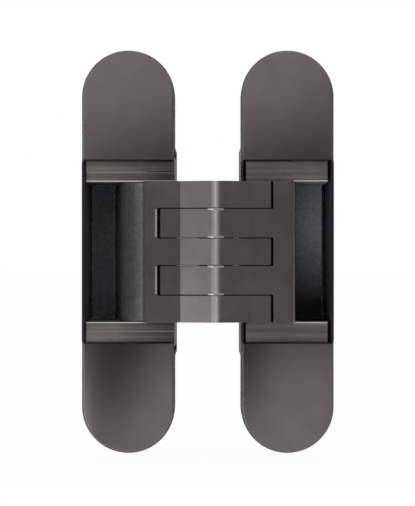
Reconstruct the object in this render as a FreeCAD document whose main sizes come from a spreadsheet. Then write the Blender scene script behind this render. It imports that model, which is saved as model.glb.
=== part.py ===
import FreeCAD, Part
import os
import Sketcher
from math import acos, atan2, cos, degrees, hypot, pi, sin, sqrt

# Concealed door hinge, open at 180 degrees: two leaves that are let into the edges of a frame and a
# door, and two crossing arms that carry the door leaf on a pin between them. Closed, the arms fold
# into the pockets of both leaves.
# X runs across the leaves from the frame leaf to the door leaf, Y runs into the wood and Z is up.
# The origin is the middle of the frame leaf's fixing screws, on the face that seats in the mortise.

SIZES = [
    ("leaf_width", 30.0), ("leaf_height", 130.0), ("leaf_gap", 21.3),
    ("end_depth", 8.0), ("tub_depth", 31.0), ("tub_floor", 1.3), ("tub_end_wall", 1.5), ("tub_round", 1.2),
    ("rim_wall", 0.8), ("rim_chamfer", 0.45), ("bay_wall", 2.2), ("bay_floor", 2.4),
    ("fixing_spacing", 12.0), ("fixing_end", 10.0), ("fixing_radius", 2.5), ("fixing_sink", 1.4),
    ("band_height", 6.65), ("cover_thick", 1.5), ("cover_edge", 0.4), ("cover_gap", 0.1),
    ("peg_radius", 1.2), ("peg_length", 5.0), ("peg_inset", 3.6), ("peg_rise", 3.5), ("peg_end", 4.6),
    ("pin_shift", 2.5), ("pin_rise", 5.5), ("knuckle_radius", 5.5), ("closed_gap", 4.0),
    ("closed_reach", 22.6), ("frame_pivot_depth", 14.0), ("door_pivot_depth", 12.0),
    ("stack_height", 44.6), ("door_finger", 9.2), ("finger_gap", 0.12), ("arm_clear", 0.6),
    ("arm_rise", 9.0), ("facet_reach", 11.2), ("eye_radius", 2.9), ("tip_gap", 0.5), ("edge_break", 0.4),
    ("frame_tip", 17.7), ("door_tip", 17.7), ("frame_arm_end", 22.9), ("door_arm_end", 25.3),
    ("arm_corner", 2.5), ("neck_clear", 0.9),
    ("frame_slide_x", 26.3), ("frame_slide_depth", 7.0), ("frame_heel", 4.9),
    ("door_slide_x", 21.6), ("door_slide_depth", 7.0), ("door_heel", 3.8),
    ("main_pin_radius", 3.0), ("pivot_pin_radius", 1.75), ("slide_pin_radius", 2.0), ("pin_chamfer", 0.4),
    ("bush_wall", 0.5), ("running_gap", 0.05), ("washer_thick", 0.65), ("washer_radius", 5.65),
    ("sleeve_wall", 0.8), ("track_gap", 0.15), ("track_wall", 1.2), ("track_deep", 5.4),
    ("track_end", 0.9), ("pin_hold", 5.0), ("end_play", 0.3),
    ("carrier_face", 1.8), ("lug_height", 8.2), ("lug_gap", 0.25), ("frame_lug_edge", 0.15),
    ("frame_lug_gap", 0.3), ("door_lug_gap", 0.8), ("door_lug_width", 26.6), ("lug_round", 0.6),
    ("lug_step", 0.4), ("lug_step_row", 3.3), ("beam_width", 4.0), ("beam_clear", 1.6),
    ("frame_bar_reach", 34.0), ("door_bar_reach", 26.6), ("bar_thick", 4.0),
    ("height_travel", 2.5), ("side_travel", 0.7), ("foot_width", 18.0), ("foot_thick", 2.0),
    ("clamp_spacing", 10.0), ("clamp_radius", 2.0), ("clamp_head", 3.5),
    ("clamp_head_high", 1.6), ("clamp_socket", 1.25), ("slide_clear", 0.1),
]
CLAMP_SHARE = 0.4


class Term:
    """A size with the formula that the document keeps for it."""

    def __init__(self, value, text):
        self.value = value
        self.text = text

    def __add__(self, other):
        other = term(other)
        return Term(self.value + other.value, "(%s + %s)" % (self.text, other.text))

    def __sub__(self, other):
        other = term(other)
        return Term(self.value - other.value, "(%s - %s)" % (self.text, other.text))

    def __mul__(self, other):
        other = term(other)
        return Term(self.value * other.value, "(%s * %s)" % (self.text, other.text))

    def __truediv__(self, other):
        other = term(other)
        return Term(self.value / other.value, "(%s / %s)" % (self.text, other.text))

    def __neg__(self):
        return Term(-self.value, "(0 - %s)" % self.text)

    __radd__ = __add__
    __rmul__ = __mul__

    def __rsub__(self, other):
        return term(other) - self


def term(number):
    return number if isinstance(number, Term) else Term(float(number), repr(float(number)))


class Sheet:
    """The driving sizes, one cell and one alias each, read as attributes."""

    def __init__(self, doc, sizes):
        self.sheet = doc.addObject("Spreadsheet::Sheet", "Sizes")
        self.row = 0
        for alias, value in sizes:
            self.put(alias, value)

    def put(self, alias, value):
        self.row += 1
        self.sheet.set("A%d" % self.row, alias)
        self.sheet.set("B%d" % self.row, repr(float(value)))
        self.sheet.setAlias("B%d" % self.row, alias)
        setattr(self, alias, Term(float(value), "Sizes.%s" % alias))


doc = FreeCAD.newDocument("concealed_hinge")
s = Sheet(doc, SIZES)


# The linkage, seen along the pins: x from the frame leaf's centre line, v up out of the leaf faces

def pivot_inset(edge, depth):
    """How far inside its leaf a fixed pivot lies, so that both leaves meet in line when closed."""
    open_arm = s.pin_rise + depth
    closed_arm = s.closed_gap / 2 + depth
    spare = s.closed_reach * s.closed_reach - edge * edge - open_arm * open_arm + closed_arm * closed_arm
    return spare / ((edge + s.closed_reach) * 2)


def turned(point, centre, angle):
    x, v = point[0] - centre[0], point[1] - centre[1]
    return centre[0] + x * cos(angle) - v * sin(angle), centre[1] + x * sin(angle) + v * cos(angle)


frame_edge = s.leaf_gap / 2 + s.pin_shift
door_edge = s.leaf_gap / 2 - s.pin_shift
pin_x = s.leaf_width / 2 + frame_edge
frame_pivot_x = s.leaf_width / 2 - pivot_inset(frame_edge, s.frame_pivot_depth)
door_pivot_x = pin_x + door_edge + pivot_inset(door_edge, s.door_pivot_depth)
face_y = -s.end_depth

PIN = (pin_x.value, s.pin_rise.value)
FRAME_PIVOT = (frame_pivot_x.value, -s.frame_pivot_depth.value)
DOOR_PIVOT = (door_pivot_x.value, -s.door_pivot_depth.value)
PIN_CLOSED = (s.leaf_width.value / 2 - s.closed_reach.value, s.closed_gap.value / 2)
DOOR_PIN_CLOSED = ((pin_x + door_edge + s.closed_reach).value, s.closed_gap.value / 2)


def bearing(centre, point):
    return atan2(point[1] - centre[1], point[0] - centre[0])


FRAME_SWING = bearing(FRAME_PIVOT, PIN_CLOSED) - bearing(FRAME_PIVOT, PIN)
DOOR_SWING = bearing(DOOR_PIVOT, PIN) - bearing(DOOR_PIVOT, DOOR_PIN_CLOSED)
KNUCKLE_SWING = pi - FRAME_SWING - DOOR_SWING


def frame_track_point(share):
    """Place of the frame arm's slide pin in the frame leaf, at a share of the closing movement."""
    start = ((pin_x - s.frame_slide_x).value, -s.frame_slide_depth.value)
    pin = turned(PIN, FRAME_PIVOT, FRAME_SWING * share)
    moved = (start[0] + pin[0] - PIN[0], start[1] + pin[1] - PIN[1])
    return turned(moved, pin, (FRAME_SWING + KNUCKLE_SWING) * share)


def door_track_point(share):
    """Place of the door arm's slide pin in the door leaf, at a share of the closing movement."""
    start = ((pin_x + s.door_slide_x).value, -s.door_slide_depth.value)
    pin = turned(PIN, DOOR_PIVOT, -DOOR_SWING * share)
    moved = (start[0] + pin[0] - PIN[0], start[1] + pin[1] - PIN[1])
    return turned(moved, pin, -(DOOR_SWING + KNUCKLE_SWING) * share)


# Heights of the five interleaved fingers, and of the lugs that hold the pins above and below them

frame_finger = (s.stack_height - s.finger_gap * 4 - s.door_finger * 2) / 3
stack_half = s.stack_height / 2
lug_low = stack_half + s.lug_gap
lug_top = lug_low + s.lug_height
pocket_half = lug_top + s.height_travel + s.lug_gap
leaf_half = s.leaf_width / 2
leaf_top = s.leaf_height / 2
cover_low = lug_low + s.band_height
fixing_row = leaf_top - s.fixing_end
clamp_row = pocket_half + (fixing_row - pocket_half) * CLAMP_SHARE
peg_row = pocket_half + s.peg_rise
pocket_floor = s.tub_depth - s.tub_floor
carrier_back = pocket_floor - s.arm_clear
bay_deep = s.end_depth - s.bay_floor
foot_back = bay_deep - s.slide_clear
foot_face = foot_back - s.foot_thick
head_back = foot_face - s.slide_clear


# Sketch and feature helpers

def bind(thing, prop, size):
    thing.setExpression(prop, term(size).text)


def plane_of(body, role):
    return [f for f in body.Origin.OriginFeatures if f.Role == role][0]


class Outline:
    """A sketch on one of its body's origin planes; every point is tied to named sizes."""

    def __init__(self, body, role, offset):
        self.sketch = body.newObject("Sketcher::SketchObject", "Outline")
        self.sketch.AttachmentSupport = [(plane_of(body, role), "")]
        self.sketch.MapMode = "FlatFace"
        bind(self.sketch, "AttachmentOffset.Base.z", offset)

    def tie(self, kind, target, size):
        index = self.sketch.addConstraint(Sketcher.Constraint(kind, *target, term(size).value))
        bind(self.sketch, "Constraints[%d]" % index, size)

    def fix(self, geometry, position, point):
        self.tie("DistanceX", (-1, 1, geometry, position), point[0])
        self.tie("DistanceY", (-1, 1, geometry, position), point[1])

    def polygon(self, points):
        vectors = [FreeCAD.Vector(term(x).value, term(y).value, 0) for x, y in points]
        first = self.sketch.GeometryCount
        count = len(points)
        for i in range(count):
            self.sketch.addGeometry(Part.LineSegment(vectors[i], vectors[(i + 1) % count]), False)
        for i in range(count):
            joint = Sketcher.Constraint("Coincident", first + i, 2, first + (i + 1) % count, 1)
            self.sketch.addConstraint(joint)
        for i in range(count):
            self.fix(first + i, 1, points[i])

    def box(self, low, high):
        self.polygon([low, (high[0], low[1]), high, (low[0], high[1])])

    def circle(self, centre, radius):
        middle = FreeCAD.Vector(term(centre[0]).value, term(centre[1]).value, 0)
        round_edge = Part.Circle(middle, FreeCAD.Vector(0, 0, 1), term(radius).value)
        index = self.sketch.addGeometry(round_edge, False)
        self.tie("Radius", (index,), radius)
        self.fix(index, 3, centre)

    def arch(self, middle, half_width, low, high, end):
        """A straight-sided tongue from low to a full round end that reaches high, up or down."""
        left, right, spring = middle - half_width, middle + half_width, (high - half_width) * end
        corners = [(left, spring), (left, low * end), (right, low * end), (right, spring)]
        vectors = [FreeCAD.Vector(term(x).value, term(y).value, 0) for x, y in corners]
        lines = [self.sketch.addGeometry(Part.LineSegment(vectors[i], vectors[i + 1]), False)
                 for i in range(3)]
        centre = FreeCAD.Vector(term(middle).value, term(spring).value, 0)
        round_edge = Part.Circle(centre, FreeCAD.Vector(0, 0, 1), term(half_width).value)
        start, stop = (0, pi) if end > 0 else (pi, 2 * pi)
        arc = self.sketch.addGeometry(Part.ArcOfCircle(round_edge, start, stop), False)
        at_right, at_left = (1, 2) if end > 0 else (2, 1)
        joints = ((lines[0], 2, lines[1], 1), (lines[1], 2, lines[2], 1),
                  (arc, at_right, lines[2], 2), (arc, at_left, lines[0], 1))
        for joint in joints:
            self.sketch.addConstraint(Sketcher.Constraint("Coincident", *joint))
        for line, position, corner in ((0, 1, 0), (0, 2, 1), (2, 1, 2), (2, 2, 3)):
            self.fix(lines[line], position, corners[corner])
        self.tie("DistanceY", (-1, 1, arc, 3), spring)

    def slot(self, centre, radius, straight, along_x=False):
        """Two half circles joined by straight sides; straight is half the distance of their centres."""
        turn = -pi / 2 if along_x else 0
        middles, lines, arcs = [], [], []
        for side in (1, -1):
            offset = straight * side
            middle = (centre[0] + offset, centre[1]) if along_x else (centre[0], centre[1] + offset)
            middles.append(middle)
            point = FreeCAD.Vector(term(middle[0]).value, term(middle[1]).value, 0)
            round_edge = Part.Circle(point, FreeCAD.Vector(0, 0, 1), term(radius).value)
            start = turn if side > 0 else turn + pi
            arcs.append(self.sketch.addGeometry(Part.ArcOfCircle(round_edge, start, start + pi), False))
        for first, second in ((0, 1), (1, 0)):
            ends = [self.sketch.getPoint(arcs[first], 2), self.sketch.getPoint(arcs[second], 1)]
            lines.append(self.sketch.addGeometry(Part.LineSegment(*ends), False))
            self.sketch.addConstraint(Sketcher.Constraint("Tangent", arcs[first], 2, lines[-1], 1))
            self.sketch.addConstraint(Sketcher.Constraint("Tangent", lines[-1], 2, arcs[second], 1))
        self.tie("Radius", (arcs[0],), radius)
        for arc, middle in zip(arcs, middles):
            self.fix(arc, 3, middle)

    def stadium(self, middle, half_width, half_height):
        """A leaf's outline: straight sides between two full round ends."""
        self.slot((middle, term(0)), half_width, half_height - half_width)


class Piece:
    """A body that is built up from outlines; depths are along Y, heights along Z."""

    def __init__(self, name):
        self.body = doc.addObject("PartDesign::Body", name)
        self.body.Label = name

    def feature(self, kind, outline, length):
        made = self.body.newObject(kind, kind.split("::")[1])
        made.Profile = outline.sketch
        bind(made, "Length", length)
        self.body.Tip = made
        return made

    def at_height(self, height):
        return Outline(self.body, "XY_Plane", height)

    def at_depth(self, depth):
        return Outline(self.body, "XZ_Plane", -term(depth))

    def grow(self, outline, length):
        return self.feature("PartDesign::Pad", outline, length)

    def sink(self, outline, length):
        return self.feature("PartDesign::Pocket", outline, length)

    def edges(self, chosen):
        """Names of the edges of the present solid that the test picks."""
        doc.recompute()
        shape = self.body.Tip.Shape
        return ["Edge%d" % (i + 1) for i, edge in enumerate(shape.Edges) if chosen(edge)]

    def dress(self, kind, names, prop, size):
        base = self.body.Tip
        made = self.body.newObject("PartDesign::" + kind, kind)
        made.Base = (base, names)
        bind(made, prop, size)
        self.body.Tip = made
        return made


def upright(edge):
    """True for a straight edge along Z."""
    if edge.Curve.TypeId != "Part::GeomLine":
        return False
    start, end = edge.Vertexes[0].Point, edge.Vertexes[1].Point
    return hypot(start.x - end.x, start.y - end.y) < 1e-6


def near(edge, x, y, reach=0.05):
    point = edge.Vertexes[0].Point
    return abs(point.x - term(x).value) < reach and abs(point.y - term(y).value) < reach


def flat_at_depth(edge, depth):
    return all(abs(v.Point.y - term(depth).value) < 1e-4 for v in edge.Vertexes)


def at_tub_corner(edge, middle, tub_top):
    """True for the tub's four long corners and for the edges round its back."""
    if min(v.Point.y for v in edge.Vertexes) < -1e-4 or flat_at_depth(edge, 0):
        return False
    if flat_at_depth(edge, face_y + s.tub_depth):
        return True
    return all(abs(abs(v.Point.x - middle.value) - leaf_half.value) < 1e-4
               and abs(abs(v.Point.z) - tub_top.value) < 1e-4 for v in edge.Vertexes)


# Housings: a shallow plate with round ends and a deep tub between them, cast in one piece

def housing(name, middle, inner, open_side):
    """inner is +1 where the pin side of the leaf is towards +X; there the frame leaf's pocket is open."""
    piece = Piece(name)
    inner_face = middle + leaf_half * inner
    plate = piece.at_depth(0)
    plate.stadium(middle, leaf_half, leaf_top)
    piece.grow(plate, s.end_depth)
    tub = piece.at_depth(face_y + s.tub_depth)
    tub_top = pocket_half + s.tub_end_wall
    tub.box((middle - leaf_half, -tub_top), (middle + leaf_half, tub_top))
    piece.grow(tub, s.tub_depth)
    corners = piece.edges(lambda e: at_tub_corner(e, middle, tub_top))
    piece.dress("Fillet", corners, "Radius", s.tub_round)
    rim = piece.edges(lambda e: flat_at_depth(e, face_y))
    piece.dress("Chamfer", rim, "Size", s.rim_chamfer)
    pocket = piece.at_depth(face_y)
    pocket_side = leaf_half - s.rim_wall
    pocket.box((middle - pocket_side, -pocket_half), (middle + pocket_side, pocket_half))
    piece.sink(pocket, pocket_floor)
    seats = piece.at_depth(face_y)
    for end in (1, -1):
        seats.box((middle - leaf_half - s.rim_wall, (cover_low - s.cover_gap) * end),
                  (middle + leaf_half + s.rim_wall, (leaf_top + s.rim_wall) * end))
    piece.sink(seats, s.cover_thick)
    bay = piece.at_depth(face_y)
    bay.stadium(middle, leaf_half - s.bay_wall, leaf_top - s.bay_wall)
    piece.sink(bay, bay_deep)
    if open_side:
        side = piece.at_depth(face_y)
        near_x, far_x = inner_face - s.rim_wall * inner, inner_face + s.rim_wall * inner
        side.box((near_x, -pocket_half), (far_x, pocket_half))
        piece.sink(side, pocket_floor)
    fixing = [(middle + s.fixing_spacing / 2 * i, fixing_row * j) for i in (-1, 1) for j in (-1, 1)]
    holes = piece.at_depth(face_y + bay_deep)
    for place in fixing:
        holes.circle(place, s.fixing_radius)
    piece.sink(holes, s.bay_floor)
    mouths = piece.edges(lambda e: flat_at_depth(e, face_y + bay_deep)
                         and e.Curve.TypeId == "Part::GeomCircle"
                         and abs(e.Curve.Radius - s.fixing_radius.value) < 1e-6)
    piece.dress("Chamfer", mouths, "Size", s.fixing_sink)
    threads = piece.at_depth(face_y + bay_deep)
    for place in clamp_places(middle):
        threads.circle(place, s.clamp_radius)
    piece.sink(threads, s.bay_floor)
    pegs = piece.at_depth(face_y + bay_deep)
    for place in peg_places(middle, 1) + peg_places(middle, -1):
        pegs.circle(place, s.peg_radius + s.running_gap)
    piece.sink(pegs, s.cover_thick + s.peg_length - bay_deep + s.slide_clear)
    return piece


def clamp_places(middle):
    return [(middle + s.clamp_spacing / 2 * i, clamp_row * j) for i in (-1, 1) for j in (-1, 1)]


def peg_places(middle, end):
    side = leaf_half - s.peg_inset
    return [(middle - side, peg_row * end), (middle + side, peg_row * end),
            (middle, (leaf_top - s.peg_end) * end)]


# Cover caps: a flat tongue with a round end, held by three pegs

def cover(name, middle, end):
    piece = Piece(name)
    plate = piece.at_depth(face_y + s.cover_thick)
    plate.arch(middle, leaf_half, cover_low, leaf_top, end)
    piece.grow(plate, s.cover_thick)
    border = piece.edges(lambda e: flat_at_depth(e, face_y))
    piece.dress("Fillet", border, "Radius", s.cover_edge)
    pegs = piece.at_depth(face_y + s.cover_thick + s.peg_length)
    for place in peg_places(middle, end):
        pegs.circle(place, s.peg_radius)
    piece.grow(pegs, s.peg_length)
    return piece


# Arms: a full-height web with a heel that slides in one leaf, and fingers that turn in the other

def ridge_tangent():
    """Where the sloping faces meet the round ridge over the main pin, seen from the pin."""
    across, up = s.facet_reach.value, s.arm_rise.value - s.pin_rise.value
    angle = atan2(up, across) + acos(s.knuckle_radius.value / hypot(across, up))
    return s.knuckle_radius.value * cos(angle), s.pin_rise.value + s.knuckle_radius.value * sin(angle)


TANGENT = ridge_tangent()
s.put("ridge_tangent_x", TANGENT[0])
s.put("ridge_tangent_rise", TANGENT[1])
HEEL_SIDE = 0.6
HEEL_BACK = 0.8


def across(u, v):
    """A point given from the main pin's plane and up out of the leaf faces."""
    return pin_x + u, face_y - term(v)


def finger_rows():
    """Lower face and height of each finger from the top down; the arms take turns."""
    rows, top = [], stack_half
    for height in (frame_finger, s.door_finger, frame_finger, s.door_finger, frame_finger):
        rows.append((top - height, height))
        top = top - height - s.finger_gap
    return rows


FRAME_ARM_ROWS = finger_rows()[0::2]
DOOR_ARM_ROWS = finger_rows()[1::2]


def arm(name, side, rows, end, notch, heel_x, heel_depth, heel, tip, eye, neck):
    """side is -1 for the arm whose web lies in the frame leaf; lengths run from the main pin."""
    piece = Piece(name)
    eye_x, eye_depth = eye
    heel_back = across((heel_x - heel * HEEL_SIDE) * side, -heel_depth - heel * HEEL_BACK)
    web = piece.at_height(-stack_half)
    web.polygon([across(notch * side, s.arm_rise), across(end * side, s.arm_rise),
                 across(end * side, -heel_depth), across(heel_x * side, -heel_depth), heel_back,
                 across(notch * side, -heel_depth / 2)])
    piece.grow(web, s.stack_height)
    foot = piece.at_height(-stack_half)
    foot.circle(across(heel_x * side, -heel_depth), heel)
    piece.grow(foot, s.stack_height)
    for low, height in rows:
        finger = piece.at_height(low)
        finger.polygon([
            across(end * side, s.arm_rise), across(s.facet_reach * side, s.arm_rise),
            across(s.ridge_tangent_x * side, s.ridge_tangent_rise),
            across(-s.ridge_tangent_x * side, s.ridge_tangent_rise),
            across(-s.facet_reach * side, s.arm_rise), across(-tip * side, s.arm_rise),
            across(-tip * side, -eye_depth / 2), across(-(eye_x + s.eye_radius) * side, -eye_depth),
            across(-(eye_x - s.eye_radius) * side, -eye_depth),
            across(-(eye_x - s.eye_radius) * side, s.arm_clear), across(neck * side, s.arm_clear),
            heel_back, across(heel_x * side, -heel_depth), across(end * side, -heel_depth)])
        piece.grow(finger, height)
        for centre, radius in ((across(0, s.pin_rise), s.knuckle_radius),
                               (across(-eye_x * side, -eye_depth), s.eye_radius)):
            boss = piece.at_height(low)
            boss.circle(centre, radius)
            piece.grow(boss, height)
    return piece


def bore(piece, centre, radius, top, length):
    hole = piece.at_height(top)
    hole.circle(centre, radius)
    piece.sink(hole, length)


def through(piece, centre, radius):
    bore(piece, centre, radius, stack_half, s.stack_height)


PIN_AT = across(0, s.pin_rise)
FRAME_PIVOT_AT = (frame_pivot_x, face_y + s.frame_pivot_depth)
DOOR_PIVOT_AT = (door_pivot_x, face_y + s.door_pivot_depth)
FRAME_SLIDE_AT = across(-s.frame_slide_x, -s.frame_slide_depth)
DOOR_SLIDE_AT = across(s.door_slide_x, -s.door_slide_depth)


def frame_arm():
    notch = s.frame_tip + s.tip_gap
    eye = (door_pivot_x - pin_x, s.door_pivot_depth)
    piece = arm("frame_arm", -1, FRAME_ARM_ROWS, s.frame_arm_end, notch, s.frame_slide_x,
                s.frame_slide_depth, s.frame_heel, s.door_tip, eye, frame_edge + s.neck_clear)
    through(piece, PIN_AT, s.main_pin_radius + s.bush_wall)
    through(piece, DOOR_PIVOT_AT, s.pivot_pin_radius + s.bush_wall)
    through(piece, FRAME_SLIDE_AT, s.slide_pin_radius)
    notch_at, end_at = across(-notch, s.arm_rise), across(-s.frame_arm_end, s.arm_rise)
    tip_at = across(s.door_tip, s.arm_rise)
    broken = piece.edges(lambda e: upright(e) and any(near(e, *at) for at in (notch_at, end_at, tip_at)))
    piece.dress("Chamfer", broken, "Size", s.edge_break)
    return piece


def door_arm():
    notch = s.door_tip + s.tip_gap
    eye = (pin_x - frame_pivot_x, s.frame_pivot_depth)
    piece = arm("door_arm", 1, DOOR_ARM_ROWS, s.door_arm_end, notch, s.door_slide_x,
                s.door_slide_depth, s.door_heel, s.frame_tip, eye,
                door_edge + s.rim_wall + s.neck_clear)
    through(piece, PIN_AT, s.main_pin_radius)
    through(piece, FRAME_PIVOT_AT, s.pivot_pin_radius + s.bush_wall)
    through(piece, DOOR_SLIDE_AT, s.slide_pin_radius)
    for low, height in DOOR_ARM_ROWS:
        for top in (low + height, low + washer_sink):
            bore(piece, PIN_AT, s.washer_radius + s.slide_clear, top, washer_sink)
    end_at, tip_at = across(s.door_arm_end, s.arm_rise), across(-s.frame_tip, s.arm_rise)
    rounded = piece.edges(lambda e: upright(e) and near(e, *end_at))
    piece.dress("Fillet", rounded, "Radius", s.arm_corner)
    broken = piece.edges(lambda e: upright(e) and near(e, *tip_at))
    piece.dress("Chamfer", broken, "Size", s.edge_break)
    return piece


washer_sink = s.washer_thick - s.finger_gap + s.running_gap


# Pins, bushes, sleeves and washers: turned pieces, each drawn about its own axis

def turned_piece(name, place, low, high, radius, hole=None, edge=None):
    """A cylinder about a vertical axis at place, with an optional bore or with broken ends."""
    body = doc.addObject("PartDesign::Body", name)
    body.Label = name
    sketch = Outline(body, "XZ_Plane", 0)
    inside = term(hole if hole is not None else 0)
    if edge is None:
        points = [(inside, low), (radius, low), (radius, high), (inside, high)]
    else:
        points = [(inside, low), (radius - edge, low), (radius, low + edge),
                  (radius, high - edge), (radius - edge, high), (inside, high)]
    sketch.polygon([(term(x), term(z)) for x, z in points])
    turn = body.newObject("PartDesign::Revolution", "Revolution")
    turn.Profile = sketch.sketch
    turn.ReferenceAxis = (sketch.sketch, ["V_Axis"])
    turn.Angle = 360
    body.Tip = turn
    bind(body, "Placement.Base.x", place[0])
    bind(body, "Placement.Base.y", place[1])
    return body


def group(name, members):
    """Identical pieces kept together as separate solids of one sub-part."""
    made = doc.addObject("Part::Compound", name)
    made.Label = name
    made.Links = members
    return made


def bushes(name, place, rows, pin_radius):
    return group(name, [
        turned_piece("%s_%d" % (name, i + 1), place, low, low + height,
                     pin_radius + s.bush_wall, pin_radius + s.running_gap)
        for i, (low, height) in enumerate(rows)])


def knuckle_washers():
    members = []
    for low, height in DOOR_ARM_ROWS:
        for start in (low + height - washer_sink, low + washer_sink - s.washer_thick):
            members.append(turned_piece("knuckle_washer", PIN_AT, start, start + s.washer_thick,
                                        s.washer_radius, s.main_pin_radius + s.running_gap))
    return group("knuckle_washers", members)


pin_end = lug_low + s.track_deep - s.track_end - s.end_play


def slide_sleeves(name, place):
    radius = s.slide_pin_radius + s.sleeve_wall
    hole = s.slide_pin_radius + s.running_gap
    low = stack_half + s.slide_clear
    return group(name, [turned_piece(name + "_up", place, low, pin_end, radius, hole),
                        turned_piece(name + "_down", place, -pin_end, -low, radius, hole)])


# Guide tracks: polymer inserts whose curved groove follows the slide pin's path as the arms fold

def curved_band(path, half_width, low, high):
    """A prism of even width along the arc through three points of the path, with round ends."""
    start, middle, end = [FreeCAD.Vector(x, face_y.value - v, low) for x, v in path]
    centre = Part.Arc(start, middle, end).toShape().Curve.Center
    radius = (start - centre).Length

    def at(point, shift):
        return centre + (point - centre) * ((radius + shift) / radius)

    def cap(point, other):
        along = (point - centre).cross(FreeCAD.Vector(0, 0, 1)).normalize() * half_width
        outward = along if (point + along - other).Length > (point - along - other).Length else -along
        return point + outward

    inner = [at(p, -half_width) for p in (start, middle, end)]
    outer = [at(p, half_width) for p in (start, middle, end)]
    edges = [Part.Arc(*outer), Part.Arc(outer[2], cap(end, start), inner[2]),
             Part.Arc(inner[2], inner[1], inner[0]), Part.Arc(inner[0], cap(start, end), outer[0])]
    face = Part.Face(Part.Wire([e.toShape() for e in edges]))
    return face.extrude(FreeCAD.Vector(0, 0, high - low))


FRAME_TRACK = [frame_track_point(share) for share in (0, 0.5, 1)]
DOOR_TRACK = [door_track_point(share) for share in (0, 0.5, 1)]
groove_half = (s.slide_pin_radius + s.sleeve_wall + s.track_gap).value
insert_half = groove_half + s.track_wall.value


def mirrored(shape):
    return shape.mirror(FreeCAD.Vector(0, 0, 0), FreeCAD.Vector(0, 0, 1))


def guide_tracks(name, path):
    low, high = lug_low.value, (lug_low + s.track_deep).value
    insert = curved_band(path, insert_half, low, high)
    groove = curved_band(path, groove_half, low, high - s.track_end.value)
    upper = insert.cut(groove)
    made = doc.addObject("Part::Feature", name)
    made.Label = name
    made.Shape = Part.makeCompound([upper, mirrored(upper)])
    return made


def track_space(name, path):
    """The room that a carrier's two lugs leave for the guide tracks."""
    low, high = lug_low.value - s.lug_gap.value / 2, (lug_low + s.track_deep).value
    space = curved_band(path, insert_half, low, high)
    made = doc.addObject("Part::Feature", name)
    made.Shape = Part.makeCompound([space, mirrored(space)])
    return made


# Carriers: a pair of lugs joined by a beam and a bar, with feet that are clamped in the end bays

def carrier(name, middle, edges, beam, bar, pivot, slot_along_x, travel):
    """edges, beam and bar are spans in X; the feet's slots let the carrier be set on its leaf."""
    piece = Piece(name)
    for end in (1, -1):
        lug = piece.at_height(lug_low if end > 0 else -lug_top)
        lug.box((edges[0], face_y + s.carrier_face), (edges[1], face_y + carrier_back))
        piece.grow(lug, s.lug_height)
    mouth = piece.edges(lambda e: flat_at_depth(e, face_y + s.carrier_face)
                        and all(abs(abs(v.Point.z) - lug_low.value) < 1e-4 for v in e.Vertexes))
    piece.dress("Fillet", mouth, "Radius", s.lug_round)
    beam_depth = pivot[1] - face_y + s.eye_radius + s.beam_clear
    for span, depth in ((beam, beam_depth), (bar, carrier_back - s.bar_thick)):
        tie = piece.at_height(-lug_low)
        tie.box((span[0], face_y + depth), (span[1], face_y + carrier_back))
        piece.grow(tie, lug_low * 2)
    for end in (1, -1):
        foot = piece.at_depth(face_y + foot_back)
        near_z, far_z = (lug_top - s.foot_thick) * end, foot_end * end
        foot.box((middle - s.foot_width / 2, near_z), (middle + s.foot_width / 2, far_z))
        piece.grow(foot, s.foot_thick)
    slots = piece.at_depth(face_y + foot_face)
    for place in clamp_places(middle):
        slots.slot(place, s.clamp_radius + s.slide_clear, travel + s.slide_clear, slot_along_x)
    piece.sink(slots, s.foot_thick)
    for top in (lug_low + s.pin_hold, -lug_low):
        bore(piece, pivot, s.pivot_pin_radius, top, s.pin_hold)
    return piece


foot_end = clamp_row + s.clamp_head + s.height_travel + s.lug_gap * 2


def with_tracks(piece, name, path):
    """The carrier's casting with the room for its guide tracks taken out."""
    piece.body.Label = name + "_casting"
    made = doc.addObject("Part::Cut", name)
    made.Label = name
    made.Base = piece.body
    made.Tool = track_space(name + "_track_space", path)
    return made


def frame_carrier():
    inner, outer = leaf_half - s.frame_lug_edge, -leaf_half + s.rim_wall + s.frame_lug_gap
    piece = carrier("frame_carrier_casting", term(0), (outer, inner), (inner - s.beam_width, inner),
                    (outer, pin_x - s.frame_bar_reach), FRAME_PIVOT_AT, False, s.height_travel)
    step = piece.at_height(lug_low + s.lug_step_row)
    step.box((outer, face_y + s.carrier_face), (inner, face_y + s.carrier_face + s.lug_step))
    piece.sink(step, s.lug_height)
    return with_tracks(piece, "frame_carrier", FRAME_TRACK)


def door_carrier():
    inner = pin_x + door_edge + s.rim_wall + s.door_lug_gap
    outer = inner + s.door_lug_width
    piece = carrier("door_carrier_casting", door_middle, (inner, outer), (inner, inner + s.beam_width),
                    (pin_x + s.door_bar_reach, outer), DOOR_PIVOT_AT, True, s.side_travel)
    return with_tracks(piece, "door_carrier", DOOR_TRACK)


door_middle = pin_x + door_edge + leaf_half


# Clamp screws: round heads with a hexagon socket on a plain shank, two in each end bay

def rod(name, radius, length, x, y, z):
    """A cylinder along Y."""
    made = doc.addObject("Part::Cylinder", name)
    bind(made, "Radius", radius)
    bind(made, "Height", length)
    lying = FreeCAD.Rotation(FreeCAD.Vector(1, 0, 0), -90)
    made.Placement = FreeCAD.Placement(FreeCAD.Vector(0, 0, 0), lying)
    for prop, size in (("x", x), ("y", y), ("z", z)):
        bind(made, "Placement.Base." + prop, size)
    return made


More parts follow.
